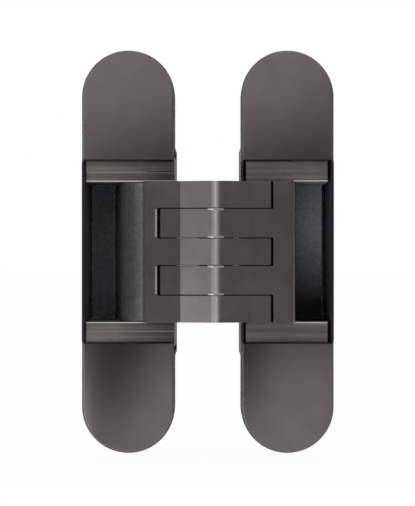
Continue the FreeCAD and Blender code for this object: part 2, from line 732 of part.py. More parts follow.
def clamp_screws(name, middle):
    members = []
    head_face = face_y + head_back - s.clamp_head_high
    for x, z in clamp_places(middle):
        head = rod("screw_head", s.clamp_head, s.clamp_head_high, x, head_face, z)
        shank = rod("screw_shank", s.clamp_radius - s.running_gap, s.end_depth - head_back,
                    x, face_y + head_back, z)
        socket = doc.addObject("Part::Prism", "screw_socket")
        socket.Polygon = 6
        bind(socket, "Circumradius", s.clamp_socket * 1.1547)
        bind(socket, "Height", s.clamp_head_high * 0.7)
        socket.Placement = head.Placement
        for prop, size in (("x", x), ("y", head_face), ("z", z)):
            bind(socket, "Placement.Base." + prop, size)
        blank = doc.addObject("Part::Fuse", "screw_blank")
        blank.Base, blank.Tool = head, shank
        screw = doc.addObject("Part::Cut", "clamp_screw")
        screw.Base, screw.Tool = blank, socket
        members.append(screw)
    return group(name, members)


pivot_half = lug_low + s.pin_hold
main_pin_half = stack_half - s.slide_clear * 2

PARTS = {
    "frame_housing": housing("frame_housing", term(0), 1, True).body,
    "door_housing": housing("door_housing", door_middle, -1, False).body,
    "frame_top_cover": cover("frame_top_cover", term(0), 1).body,
    "frame_bottom_cover": cover("frame_bottom_cover", term(0), -1).body,
    "door_top_cover": cover("door_top_cover", door_middle, 1).body,
    "door_bottom_cover": cover("door_bottom_cover", door_middle, -1).body,
    "frame_carrier": frame_carrier(),
    "door_carrier": door_carrier(),
    "frame_guide_tracks": guide_tracks("frame_guide_tracks", FRAME_TRACK),
    "door_guide_tracks": guide_tracks("door_guide_tracks", DOOR_TRACK),
    "frame_arm": frame_arm().body,
    "door_arm": door_arm().body,
    "main_pin": turned_piece("main_pin", PIN_AT, -main_pin_half, main_pin_half,
                             s.main_pin_radius, edge=s.pin_chamfer),
    "frame_pivot_pin": turned_piece("frame_pivot_pin", FRAME_PIVOT_AT, -pivot_half, pivot_half,
                                    s.pivot_pin_radius, edge=s.pin_chamfer),
    "door_pivot_pin": turned_piece("door_pivot_pin", DOOR_PIVOT_AT, -pivot_half, pivot_half,
                                   s.pivot_pin_radius, edge=s.pin_chamfer),
    "frame_slide_pin": turned_piece("frame_slide_pin", FRAME_SLIDE_AT, -pin_end, pin_end,
                                    s.slide_pin_radius, edge=s.pin_chamfer),
    "door_slide_pin": turned_piece("door_slide_pin", DOOR_SLIDE_AT, -pin_end, pin_end,
                                   s.slide_pin_radius, edge=s.pin_chamfer),
    "frame_slide_sleeves": slide_sleeves("frame_slide_sleeves", FRAME_SLIDE_AT),
    "door_slide_sleeves": slide_sleeves("door_slide_sleeves", DOOR_SLIDE_AT),
    "main_pin_bushes": bushes("main_pin_bushes", PIN_AT, FRAME_ARM_ROWS, s.main_pin_radius),
    "door_pivot_bushes": bushes("door_pivot_bushes", DOOR_PIVOT_AT, FRAME_ARM_ROWS, s.pivot_pin_radius),
    "frame_pivot_bushes": bushes("frame_pivot_bushes", FRAME_PIVOT_AT, DOOR_ARM_ROWS, s.pivot_pin_radius),
    "knuckle_washers": knuckle_washers(),
    "frame_clamp_screws": clamp_screws("frame_clamp_screws", term(0)),
    "door_clamp_screws": clamp_screws("door_clamp_screws", door_middle),
}

doc.recompute()
for thing in doc.Objects:
    if "Invalid" in thing.State or "Error" in thing.State:
        raise RuntimeError("%s failed" % thing.Label)
for name, thing in PARTS.items():
    if thing.Shape.isNull() or not thing.Shape.isValid() or not thing.Shape.Solids:
        raise RuntimeError("%s is not a valid solid" % name)

os.makedirs("parts", exist_ok=True)
for name, thing in PARTS.items():
    thing.Shape.exportStep("parts/%s.step" % name)

print("swings in degrees: frame pivot %.3f, main pin %.3f, door pivot %.3f"
      % (degrees(FRAME_SWING), degrees(KNUCKLE_SWING), degrees(DOOR_SWING)))
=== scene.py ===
import bmesh
import bpy
from math import cos, pi, radians, sin
from mathutils import Matrix, Vector


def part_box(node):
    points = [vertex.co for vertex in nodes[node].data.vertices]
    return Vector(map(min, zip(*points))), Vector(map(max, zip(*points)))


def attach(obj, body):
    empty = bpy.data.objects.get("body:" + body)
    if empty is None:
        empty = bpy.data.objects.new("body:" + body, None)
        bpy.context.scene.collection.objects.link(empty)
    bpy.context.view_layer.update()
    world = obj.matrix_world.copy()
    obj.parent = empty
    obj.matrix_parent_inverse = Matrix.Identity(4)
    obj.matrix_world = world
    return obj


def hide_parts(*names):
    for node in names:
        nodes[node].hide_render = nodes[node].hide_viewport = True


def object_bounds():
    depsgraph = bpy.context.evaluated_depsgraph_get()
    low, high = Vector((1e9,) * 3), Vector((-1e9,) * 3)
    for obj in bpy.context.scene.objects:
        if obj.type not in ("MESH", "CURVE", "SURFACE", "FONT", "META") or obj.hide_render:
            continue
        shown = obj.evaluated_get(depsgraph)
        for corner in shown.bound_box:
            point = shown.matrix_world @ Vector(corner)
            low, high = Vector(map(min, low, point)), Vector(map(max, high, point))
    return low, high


# A concealed door hinge, opened flat and upright, just above a pale table.
# Metres throughout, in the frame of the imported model, except where a comment says millimetres.

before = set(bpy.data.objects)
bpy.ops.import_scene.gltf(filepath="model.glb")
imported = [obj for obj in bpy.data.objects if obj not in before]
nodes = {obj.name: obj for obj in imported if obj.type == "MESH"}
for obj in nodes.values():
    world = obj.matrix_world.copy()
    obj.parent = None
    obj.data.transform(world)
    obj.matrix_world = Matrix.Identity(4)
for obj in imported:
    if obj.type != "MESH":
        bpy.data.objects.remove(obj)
cad_box = [list(map(float, corner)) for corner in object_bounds()]

MM = 0.001

# The middle of the open hinge, where the camera, the cards and the lamp aim. MIDDLE_X is in millimetres.
MIDDLE_X = 25.65
MIDDLE = Vector((MIDDLE_X * MM, -8 * MM, 0))

# The axis of the main pin, and the outer radius of the knuckle round it
pin_low, pin_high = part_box("main_pin")
PIN_X, PIN_Y = ((pin_low[axis] + pin_high[axis]) / 2 for axis in (0, 1))
KNUCKLE_RADIUS = 5.5 * MM


def linear(colour):
    """The linear colour of an sRGB hex value, as the shaders want it."""
    channels = [int(colour[i:i + 2], 16) / 255 for i in (1, 3, 5)]
    return tuple(c / 12.92 if c <= 0.04045 else ((c + 0.055) / 1.055) ** 2.4 for c in channels) + (1.0,)


def add(tree, kind, settings=None, **inputs):
    """Adds a node, sets its properties, and links or sets its inputs: by name, with underscores for
    spaces, or by number after one underscore."""
    node = tree.nodes.new(kind)
    for name, value in (settings or {}).items():
        setattr(node, name, value)
    for name, value in inputs.items():
        at = int(name[1:]) if name[0] == "_" and name[1:].isdigit() else name.replace("_", " ")
        socket = node.inputs[at]
        if isinstance(value, bpy.types.NodeSocket):
            tree.links.new(value, socket)
        else:
            socket.default_value = value
    return node


def ramp(tree, factor, stops):
    """A colour ramp over the factor. Each stop is a place and a hex colour or a grey level."""
    node = add(tree, "ShaderNodeValToRGB", Fac=factor)
    elements = node.color_ramp.elements
    elements[0].position, elements[1].position = stops[0][0], stops[-1][0]
    for place, _ in stops[1:-1]:
        elements.new(place)
    for element, (_, colour) in zip(elements, stops):
        element.color = linear(colour) if isinstance(colour, str) else (colour, colour, colour, 1)
    return node.outputs["Color"]


def new_material(name):
    material = bpy.data.materials.new(name)
    material.use_nodes = True
    tree = material.node_tree
    tree.nodes.clear()
    return material, tree


def finish_material(tree, shader):
    output = tree.nodes.new("ShaderNodeOutputMaterial")
    tree.links.new(shader.outputs[0], output.inputs["Surface"])


# Black nickel on zinc die castings. Sizes in millimetres: the clouds in the plating, the milling lines
# along X, which are drawn coarser than they are so that they show, and the pebbles of the bare casting.
CLOUD_MM = 9
MILLING_MM = 0.9
MILLING_STRETCH = (0.02, 0.5, 1.0)
PEBBLE_MM = 1.3
PEBBLE_HEIGHT_MM = 0.06

# Noise keeps to the middle of its range, so each ramp on it runs between these two
NOISE_LOW, NOISE_HIGH = 0.3, 0.7
MOTTLE = 0.13
CAST_ROUGHNESS = 0.55

# Wear starts where the rounded normal leaves the true one by the first cosine, and is whole at the
# second. It comes in patches, which grow as the noise of the casting goes from low to high.
WEAR_STARTS, WEAR_WHOLE = 0.995, 0.9
PATCHY_LOW, PATCHY_HIGH = 0.42, 0.56
WORN_METAL = "#A09E9A"

# The depth over which the plating gives way to the bare casting, whose darker tone is partly its own and
# partly painted shade in the recesses
PLATING_FADES = 0.4 * MM

# A painted highlight along the crest of the knuckle: the distances from the main pin's axis where it starts
# and is whole, its half width to each side of the axis, and its tones across
CREST_STARTS, CREST_WHOLE = KNUCKLE_RADIUS + 0.03 * MM, KNUCKLE_RADIUS - 0.01 * MM
CREST_HALF = 1.6 * MM
CREST_HIGHLIGHT_TONES = [(0.07, "#8A8682"), (0.22, "#A09C98"), (0.45, "#FBF7F3"), (0.63, "#D8D4D0"), (0.76, "#A8A4A0"),
         (0.93, "#807C79")]


def paint_crest_highlight(tree, tone, place, x):
    """Paints a highlight on the round of the knuckle about the main pin."""
    near = add(tree, "ShaderNodeVectorMath", {"operation": "MULTIPLY"}, _0=place, _1=(1, 1, 0))
    reach = add(tree, "ShaderNodeVectorMath", {"operation": "DISTANCE"}, _0=near.outputs[0],
                _1=(PIN_X, PIN_Y, 0)).outputs["Value"]
    highlit = add(tree, "ShaderNodeMapRange", Value=reach, From_Min=CREST_STARTS,
                 From_Max=CREST_WHOLE).outputs["Result"]
    across = add(tree, "ShaderNodeMapRange", Value=x, From_Min=PIN_X - CREST_HALF,
                 From_Max=PIN_X + CREST_HALF).outputs["Result"]
    crest_highlight = ramp(tree, across, CREST_HIGHLIGHT_TONES)
    return add(tree, "ShaderNodeMix", {"data_type": "RGBA"}, _0=highlit, _6=tone, _7=crest_highlight).outputs[2]


def lay_marks(tree, tone, x, z, marks):
    """Lays thin stripes over a tone: painted shade, painted highlights, oil and tool lines. A mark is its
    middle and half width in X, the same in the distance from mid height, all in millimetres, and its
    colour."""
    level = add(tree, "ShaderNodeMath", {"operation": "ABSOLUTE"}, _0=z).outputs[0]
    for middle, half, height, half_height, colour in marks:
        across = add(tree, "ShaderNodeMath", {"operation": "COMPARE"}, _0=x, _1=middle * MM, _2=half * MM)
        up = add(tree, "ShaderNodeMath", {"operation": "COMPARE"}, _0=level, _1=height * MM,
                 _2=half_height * MM)
        both = add(tree, "ShaderNodeMath", {"operation": "MULTIPLY"}, _0=across.outputs[0],
                   _1=up.outputs[0])
        tone = add(tree, "ShaderNodeMix", {"data_type": "RGBA"}, _0=both.outputs[0], _6=tone,
                   _7=linear(colour)).outputs[2]
    return tone


def paint_light_across(tree, x, z, painted_light):
    """Painted light and shade on a coat: its tone runs along the stops from left to right and from low to
    high.
    painted_light is the two ends in X, the two ends in Z, in millimetres, and the stops of the tone."""
    left, right, low, high, stops = painted_light
    across = add(tree, "ShaderNodeMapRange", Value=x, From_Min=left * MM, From_Max=right * MM)
    up = add(tree, "ShaderNodeMapRange", Value=z, From_Min=low * MM, From_Max=high * MM)
    share = add(tree, "ShaderNodeMath", {"operation": "MULTIPLY"}, _0=across.outputs["Result"],
                _1=up.outputs["Result"]).outputs[0]
    return ramp(tree, share, stops)


def wear_casting(tree, bare, cast, edge):
    """Mottles the coat of the bare casting, and wears it through in patches along its edges."""
    mottle = ramp(tree, cast, [(NOISE_LOW, 0.5 - MOTTLE), (NOISE_HIGH, 0.5 + MOTTLE)])
    bare = add(tree, "ShaderNodeMix", {"data_type": "RGBA", "blend_type": "SOFT_LIGHT"}, _0=1.0, _6=bare,
               _7=mottle).outputs[2]
    straight = add(tree, "ShaderNodeNewGeometry").outputs["Normal"]
    flat = add(tree, "ShaderNodeVectorMath", {"operation": "DOT_PRODUCT"}, _0=edge,
               _1=straight).outputs["Value"]
    worn = add(tree, "ShaderNodeMapRange", Value=flat, From_Min=WEAR_STARTS, From_Max=WEAR_WHOLE)
    patchy = add(tree, "ShaderNodeMapRange", Value=cast, From_Min=PATCHY_LOW, From_Max=PATCHY_HIGH)
    worn = add(tree, "ShaderNodeMath", {"operation": "MULTIPLY"}, _0=worn.outputs["Result"],
               _1=patchy.outputs["Result"]).outputs[0]
    return add(tree, "ShaderNodeMix", {"data_type": "RGBA"}, _0=worn, _6=bare,
               _7=linear(WORN_METAL)).outputs[2]


def black_nickel(name, tones, roughness, grain_mm, grain_height, edge_mm, grit=0.03, painted_shade_fade=None,
                 streaks=0.0, crest_highlight=False, marks=(), front=None, coat=("#424648", "#4B5052"),
                 painted_light=None):
    """Zinc die casting under black nickel: a dark warm grey that mirrors softly, faintly clouded, with a
    fine skin of grain. The grain, its height and the rounding of the edges are in millimetres.
    painted_shade_fade paints shade by turning the tone to another between two places in X, streaks mills it
    across, crest_highlight paints a highlight on the knuckle's crest, and marks are laid on it. Past the
    depth front (Y in metres) the nickel gives way to the dull, pebbled coat of the bare casting, darker
    partly as painted shade in the recesses, on which painted_light paints light and shade instead."""
    material, tree = new_material(name)
    place = add(tree, "ShaderNodeTexCoord").outputs["Object"]
    x, depth, z = add(tree, "ShaderNodeSeparateXYZ", Vector=place).outputs
    edge = add(tree, "ShaderNodeBevel", {"samples": 6}, Radius=edge_mm * MM).outputs["Normal"]
    cloud = add(tree, "ShaderNodeTexNoise", Vector=place, Scale=1 / (CLOUD_MM * MM), Detail=3.0,
                Roughness=0.55).outputs["Fac"]
    skin = add(tree, "ShaderNodeTexNoise", Vector=place, Scale=1 / (grain_mm * MM), Detail=2.0,
               Roughness=0.6).outputs["Fac"]

    tone = ramp(tree, cloud, [(NOISE_LOW, tones[0]), (NOISE_HIGH, tones[1])])
    # Painted shade, a turn of the tone across X
    if painted_shade_fade is not None:
        start, end, colour = painted_shade_fade
        across = add(tree, "ShaderNodeMapRange", Value=x, From_Min=start * MM, From_Max=end * MM)
        tone = add(tree, "ShaderNodeMix", {"data_type": "RGBA"}, _0=across.outputs["Result"], _6=tone,
                   _7=linear(colour)).outputs[2]
    if streaks:
        along = add(tree, "ShaderNodeMapping", Vector=place, Scale=MILLING_STRETCH)
        milled = add(tree, "ShaderNodeTexNoise", Vector=along.outputs[0], Scale=1 / (MILLING_MM * MM),
                     Detail=1.0)
        lines = ramp(tree, milled.outputs["Fac"], [(NOISE_LOW, 0.5 - streaks), (NOISE_HIGH, 0.5 + streaks)])
        tone = add(tree, "ShaderNodeMix", {"data_type": "RGBA", "blend_type": "SOFT_LIGHT"},
                   _0=1.0, _6=tone, _7=lines).outputs[2]
    grain = ramp(tree, skin, [(NOISE_LOW, 0.5 - grit), (NOISE_HIGH, 0.5 + grit)])
    tone = add(tree, "ShaderNodeMix", {"data_type": "RGBA", "blend_type": "SOFT_LIGHT"},
               _0=1.0, _6=tone, _7=grain).outputs[2]
    gloss = add(tree, "ShaderNodeMapRange", Value=skin, From_Min=NOISE_LOW, From_Max=NOISE_HIGH,
                To_Min=roughness - grit, To_Max=roughness + grit).outputs["Result"]
    # A painted highlight along the knuckle's crest
    if crest_highlight:
        tone = paint_crest_highlight(tree, tone, place, x)
    if marks:
        tone = lay_marks(tree, tone, x, z, marks)

    plated, relief = 1.0, skin
    if front is not None:
        cast = add(tree, "ShaderNodeTexNoise", Vector=place, Scale=1 / (PEBBLE_MM * MM), Detail=3.0,
                   Roughness=0.65).outputs["Fac"]
        if painted_light is None:
            bare = ramp(tree, cloud, [(NOISE_LOW, coat[0]), (NOISE_HIGH, coat[1])])
        else:
            bare = paint_light_across(tree, x, z, painted_light)
        bare = wear_casting(tree, bare, cast, edge)
        # Behind the front, the dull coat of the bare casting, darker partly as painted shade in the
        # recesses
        plated = add(tree, "ShaderNodeMapRange", Value=depth, From_Min=front + PLATING_FADES,
                     From_Max=front).outputs["Result"]
        tone = add(tree, "ShaderNodeMix", {"data_type": "RGBA"}, _0=plated, _6=bare, _7=tone).outputs[2]
        gloss = add(tree, "ShaderNodeMix", {"data_type": "FLOAT"}, _0=plated, _2=CAST_ROUGHNESS,
                    _3=gloss).outputs[0]
        unplated = add(tree, "ShaderNodeMath", {"operation": "SUBTRACT"}, _0=1.0, _1=plated).outputs[0]
        pebbles = add(tree, "ShaderNodeMath", {"operation": "MULTIPLY"}, _0=cast,
                      _1=PEBBLE_HEIGHT_MM / grain_height).outputs[0]
        relief = add(tree, "ShaderNodeMath", {"operation": "MULTIPLY_ADD"}, _0=pebbles, _1=unplated,
                     _2=relief).outputs[0]
    bump = add(tree, "ShaderNodeBump", Strength=0.6, Distance=grain_height * MM, Height=relief, Normal=edge)
    shader = add(tree, "ShaderNodeBsdfPrincipled", Base_Color=tone, Metallic=plated,
                 Specular_IOR_Level=0.25, Roughness=gloss, Normal=bump.outputs["Normal"])
    finish_material(tree, shader)
    return material


def moulded_acetal(name, tones, roughness):
    """Moulded acetal: a dull black or grey plastic with a waxy sheen and a fine moulded skin, whose half
    millimetre of grain is coarser than the real one."""
    material, tree = new_material(name)
    place = add(tree, "ShaderNodeTexCoord").outputs["Object"]
    skin = add(tree, "ShaderNodeTexNoise", Vector=place, Scale=1 / (0.5 * MM), Detail=2.0)
    shade = ramp(tree, skin.outputs["Fac"], [(NOISE_LOW, tones[0]), (NOISE_HIGH, tones[1])])
    bump = add(tree, "ShaderNodeBump", Strength=0.4, Distance=0.02 * MM, Height=skin.outputs["Fac"])
    shader = add(tree, "ShaderNodeBsdfPrincipled", Base_Color=shade, Roughness=roughness,
                 Normal=bump.outputs["Normal"])
    finish_material(tree, shader)
    return material


def ground_steel(name):
    """Steel pins ground round: bright grey with fine rings about their axis, which runs along Z. The rings
    are drawn coarser than they are, so that they show."""
    material, tree = new_material(name)
    place = add(tree, "ShaderNodeTexCoord").outputs["Object"]
    rings = add(tree, "ShaderNodeTexWave", {"bands_direction": "Z"}, Vector=place, Scale=1 / (1.2 * MM),
                Distortion=1.5, Detail=2.0)
    shade = ramp(tree, rings.outputs["Fac"], [(0.0, "#A09F9B"), (1.0, "#B2B1AC")])
    bump = add(tree, "ShaderNodeBump", Strength=0.3, Distance=0.01 * MM, Height=rings.outputs["Fac"])
    shader = add(tree, "ShaderNodeBsdfPrincipled", Base_Color=shade, Metallic=1.0, Roughness=0.24,
                 Normal=bump.outputs["Normal"])
    finish_material(tree, shader)
    return material


# Marks, in millimetres. ALL_ALONG is a half width that takes in the whole object.
ALL_ALONG = 100.0

# Painted shade along the straight edges of the caps
CAP_EDGE_SHADE = (MIDDLE_X, ALL_ALONG, 29.4, 0.3, "#2E2A29")

# A painted highlight along the inner edges of the carriers' lugs, and a line that a tool has left across
# them
LUG_EDGE_HIGHLIGHT = (MIDDLE_X, ALL_ALONG, 22.7, 0.4, "#B4B1AE")
TOOL_LINE = (MIDDLE_X, ALL_ALONG, 25.7, 0.16, "#86827D")

# Painted shade and oil in the four seams between the fingers
OUTER_SEAM_SHADE_AND_OIL = (27.9, 18.1, 13.667, 0.22, "#332F2D")
INNER_SEAM_SHADE_AND_OIL = (27.9, 18.1, 4.347, 0.22, "#332F2D")

# A painted highlight on the lip of the door arm where its slots end, and painted shade on the chamfer along
# its heel
SLOT_LIP_HIGHLIGHT = (9.3, 0.3, 9.0, 4.4, "#CFC9C5")
HEEL_CHAMFER_SHADE = (5.35, 0.4, 0.0, ALL_ALONG, "#4A4543")

# Painted shade: the frame carrier darkens towards the middle of the hinge, between these two places in X
CARRIER_PAINTED_SHADE = (-4.0, 13.0, "#504D4B")

# Painted light and shade: the bar of the door carrier gets lighter upwards and to the right, and the heel
# of the door arm gets painted shade and a painted highlight across it, at every height
BAR_PAINTED_LIGHT = (48.0, 66.0, -17.0, 8.0, [(0.0, "#0E0F10"), (1.0, "#B8BBC5")])
HEEL_PAINTED_LIGHT = (0.3, 5.3, -60.0, -59.0,
                [(0.0, "#343536"), (0.28, "#464748"), (0.54, "#666768"), (0.66, "#808080"),
                 (0.82, "#929292"), (1.0, "#363738")])

CARRIER = {"tones": ("#6A6663", "#75716D"), "roughness": 0.34, "grain_mm": 0.4, "grain_height": 0.002,
           "edge_mm": 0.5, "streaks": 0.12, "front": -5.4 * MM}

cap_finish = black_nickel("satin_black_nickel_cap", tones=("#6C6664", "#726C6A"), roughness=0.165,
                          grain_mm=0.3, grain_height=0.0006, edge_mm=0.1, grit=0.01, marks=(CAP_EDGE_SHADE,))
housing_finish = black_nickel("blackened_cast_housing", tones=("#34302F", "#3B3735"), roughness=0.28,
                              grain_mm=0.4, grain_height=0.004, edge_mm=0.45, front=-7.4 * MM,
                              coat=("#484B4C", "#585B5C"))
carrier_finish = black_nickel("milled_black_nickel_carrier", marks=(LUG_EDGE_HIGHLIGHT, TOOL_LINE),
                              painted_shade_fade=CARRIER_PAINTED_SHADE, **CARRIER)
# The door carrier's bar carries painted light and shade
door_carrier_finish = black_nickel("milled_black_nickel_door_carrier", marks=(LUG_EDGE_HIGHLIGHT,),
                                   painted_light=BAR_PAINTED_LIGHT, **CARRIER)
arm_finish = black_nickel("blasted_black_nickel_arm", tones=("#6A6462", "#757070"), roughness=0.26,
                          grain_mm=0.4, grain_height=0.0005, edge_mm=0.1, grit=0.012, crest_highlight=True,
                          marks=(OUTER_SEAM_SHADE_AND_OIL, INNER_SEAM_SHADE_AND_OIL, SLOT_LIP_HIGHLIGHT, HEEL_CHAMFER_SHADE), front=-9.0 * MM,
                          painted_light=HEEL_PAINTED_LIGHT)
track_finish = moulded_acetal("black_moulded_acetal", ("#101112", "#191A1B"), 0.5)
bush_finish = moulded_acetal("grey_bearing_acetal", ("#3A3B3C", "#444546"), 0.45)
steel_finish = ground_steel("ground_steel_pin")

FINISHES = {
    housing_finish: ["frame_housing", "door_housing"],
    carrier_finish: ["frame_carrier"],
    door_carrier_finish: ["door_carrier"],
    arm_finish: ["frame_arm", "door_arm"],
    track_finish: ["frame_guide_tracks", "door_guide_tracks", "frame_slide_sleeves", "door_slide_sleeves"],
    bush_finish: ["main_pin_bushes", "door_pivot_bushes", "frame_pivot_bushes"],
    steel_finish: ["main_pin", "frame_pivot_pin", "door_pivot_pin", "frame_slide_pin", "door_slide_pin",
                   "frame_clamp_screws", "door_clamp_screws"],
}
for material, names in FINISHES.items():
    for name in names:
        for slot in nodes[name].material_slots:
            slot.material = material


# Pieces grown by a rule: the bowed caps with their pegs, and the washers between the fingers

MERGE = 0.001 * MM
OUTLINE_POINTS, RINGS = 121, 9

# What lies before this depth in a cap's slab is its front face
BEFORE_BACK = -0.1 * MM

# How far behind the slab a peg's middle is, in lengths of the peg: its end is just inside the slab
PEG_SEAT = 0.49

# Edges are shaded sharp from the first angle between their faces, and rims are rounded from the second
SHARP_FROM, RIM_FROM = radians(35), radians(40)


def new_rule(name, lengths):
    """An empty geometry tree with a named input for each length."""
    tree = bpy.data.node_groups.new(name, "GeometryNodeTree")
    tree.interface.new_socket("Geometry", in_out="OUTPUT", socket_type="NodeSocketGeometry")
    for length in lengths:
        tree.interface.new_socket(length, in_out="INPUT", socket_type="NodeSocketFloat")
    return tree, tree.nodes.new("NodeGroupInput").outputs


def end_rule(tree, pieces, material):
    joined = add(tree, "GeometryNodeJoinGeometry")
    for piece in pieces:
        tree.links.new(piece, joined.inputs[0])
    plain = add(tree, "GeometryNodeRealizeInstances", Geometry=joined.outputs[0])
    painted = add(tree, "GeometryNodeSetMaterial", Geometry=plain.outputs[0], Material=material)
    end = tree.nodes.new("NodeGroupOutput")
    tree.links.new(painted.outputs[0], end.inputs[0])


def tongue(tree, size):
    """A flat tongue with one round end. A strip of vertices follows the outline, u along it, and runs
    inwards to the spine, v across it, so each ring keeps its distance from the edge."""
    strip = add(tree, "GeometryNodeMeshGrid", Size_X=1.0, Size_Y=1.0, Vertices_X=OUTLINE_POINTS,
                Vertices_Y=RINGS)
    spot = add(tree, "GeometryNodeInputPosition").outputs[0]
    u, v, _ = add(tree, "ShaderNodeSeparateXYZ", Vector=spot).outputs
    half = add(tree, "ShaderNodeMath", {"operation": "MULTIPLY"}, _0=size["Width"], _1=0.5).outputs[0]
    arc = add(tree, "ShaderNodeMath", {"operation": "MULTIPLY"}, _0=half, _1=pi).outputs[0]
    path = add(tree, "ShaderNodeMath", {"operation": "MULTIPLY_ADD"}, _0=size["Straight"], _1=2.0,
               _2=arc).outputs[0]
    share = add(tree, "ShaderNodeMath", {"operation": "ADD"}, _0=u, _1=0.5).outputs[0]
    gone = add(tree, "ShaderNodeMath", {"operation": "MULTIPLY"}, _0=share, _1=path).outputs[0]
    left = add(tree, "ShaderNodeMath", {"operation": "SUBTRACT"}, _0=path, _1=gone).outputs[0]
    side = add(tree, "ShaderNodeMath", {"operation": "MINIMUM"}, _0=gone, _1=left).outputs[0]
    climb = add(tree, "ShaderNodeMath", {"operation": "MINIMUM"}, _0=side, _1=size["Straight"]).outputs[0]
    past = add(tree, "ShaderNodeMath", {"operation": "SUBTRACT"}, _0=gone, _1=size["Straight"]).outputs[0]
    turn = add(tree, "ShaderNodeMath", {"operation": "DIVIDE"}, _0=past, _1=half).outputs[0]
    turn = add(tree, "ShaderNodeClamp", Value=turn, Min=0.0, Max=pi).outputs[0]
    inward = add(tree, "ShaderNodeMath", {"operation": "SUBTRACT"}, _0=0.5, _1=v).outputs[0]
    reach = add(tree, "ShaderNodeMath", {"operation": "MULTIPLY"}, _0=inward, _1=half).outputs[0]
    back = add(tree, "ShaderNodeMath", {"operation": "MULTIPLY"}, _0=reach, _1=-1.0).outputs[0]
    level = add(tree, "ShaderNodeMath", {"operation": "COSINE"}, _0=turn).outputs[0]
    rise = add(tree, "ShaderNodeMath", {"operation": "SINE"}, _0=turn).outputs[0]
    x = add(tree, "ShaderNodeMath", {"operation": "MULTIPLY"}, _0=level, _1=back).outputs[0]
    z = add(tree, "ShaderNodeMath", {"operation": "MULTIPLY_ADD"}, _0=rise, _1=reach, _2=climb).outputs[0]
    spot = add(tree, "ShaderNodeCombineXYZ", X=x, Y=0.0, Z=z).outputs[0]
    laid = add(tree, "GeometryNodeSetPosition", Geometry=strip.outputs["Mesh"], Position=spot)
    return add(tree, "GeometryNodeMergeByDistance", Geometry=laid.outputs[0], Distance=MERGE).outputs[0]


def bowed_slab(tree, size, flat):
    """The flat shape made thick to the front, with the front face bowed about a line along Z."""
    outward = add(tree, "ShaderNodeCombineXYZ", X=0.0, Y=-1.0, Z=0.0).outputs[0]
    front = add(tree, "GeometryNodeExtrudeMesh", {"mode": "FACES"}, Mesh=flat, Offset=outward,
                Offset_Scale=size["Thickness"], Individual=False)
    rear = add(tree, "GeometryNodeFlipFaces", Mesh=flat).outputs[0]
    both = add(tree, "GeometryNodeJoinGeometry")
    for shell in (front.outputs["Mesh"], rear):
        tree.links.new(shell, both.inputs[0])
    slab = add(tree, "GeometryNodeMergeByDistance", Geometry=both.outputs[0], Distance=MERGE).outputs[0]
    spot = add(tree, "GeometryNodeInputPosition").outputs[0]
    x, y, _ = add(tree, "ShaderNodeSeparateXYZ", Vector=spot).outputs
    face = add(tree, "ShaderNodeMath", {"operation": "LESS_THAN"}, _0=y, _1=BEFORE_BACK).outputs[0]
    square = add(tree, "ShaderNodeMath", {"operation": "MULTIPLY"}, _0=x, _1=x).outputs[0]
    twice = add(tree, "ShaderNodeMath", {"operation": "MULTIPLY"}, _0=size["Bow Radius"], _1=2.0).outputs[0]
    sag = add(tree, "ShaderNodeMath", {"operation": "DIVIDE"}, _0=square, _1=twice).outputs[0]
    sink = add(tree, "ShaderNodeCombineXYZ", X=0.0, Y=sag, Z=0.0).outputs[0]
    return add(tree, "GeometryNodeSetPosition", Geometry=slab, Selection=face, Offset=sink).outputs[0]


def three_pegs(tree, size):
    """A round peg near each corner of the straight edge, and one near the round end."""
    index = add(tree, "GeometryNodeInputIndex").outputs[0]
    place = add(tree, "ShaderNodeMath", {"operation": "SUBTRACT"}, _0=index, _1=1.0).outputs[0]
    across = add(tree, "ShaderNodeMath", {"operation": "MULTIPLY"}, _0=place,
                 _1=size["Peg Spread"]).outputs[0]
    outer = add(tree, "ShaderNodeMath", {"operation": "ABSOLUTE"}, _0=place).outputs[0]
    drop = add(tree, "ShaderNodeMath", {"operation": "SUBTRACT"}, _0=size["Peg Rise"],
               _1=size["Peg Top"]).outputs[0]
    up = add(tree, "ShaderNodeMath", {"operation": "MULTIPLY_ADD"}, _0=outer, _1=drop,
             _2=size["Peg Top"]).outputs[0]
    deep = add(tree, "ShaderNodeMath", {"operation": "MULTIPLY"}, _0=size["Peg Length"],
               _1=PEG_SEAT).outputs[0]
    spots = add(tree, "ShaderNodeCombineXYZ", X=across, Y=deep, Z=up).outputs[0]
    seats = add(tree, "GeometryNodePoints", Count=3, Position=spots)
    peg = add(tree, "GeometryNodeMeshCylinder", Vertices=32, Radius=size["Peg Radius"],
              Depth=size["Peg Length"])
    return add(tree, "GeometryNodeInstanceOnPoints", Points=seats.outputs[0], Instance=peg.outputs["Mesh"],
               Rotation=(pi / 2, 0, 0)).outputs[0]


def cap_rule():
    """A tongue with one round end, bowed across its width, on three round pegs."""
    tree, size = new_rule("cap_rule", ("Width", "Straight", "Thickness", "Bow Radius", "Peg Radius",
                                       "Peg Length", "Peg Spread", "Peg Rise", "Peg Top"))
    end_rule(tree, (bowed_slab(tree, size, tongue(tree, size)), three_pegs(tree, size)), cap_finish)
    return tree


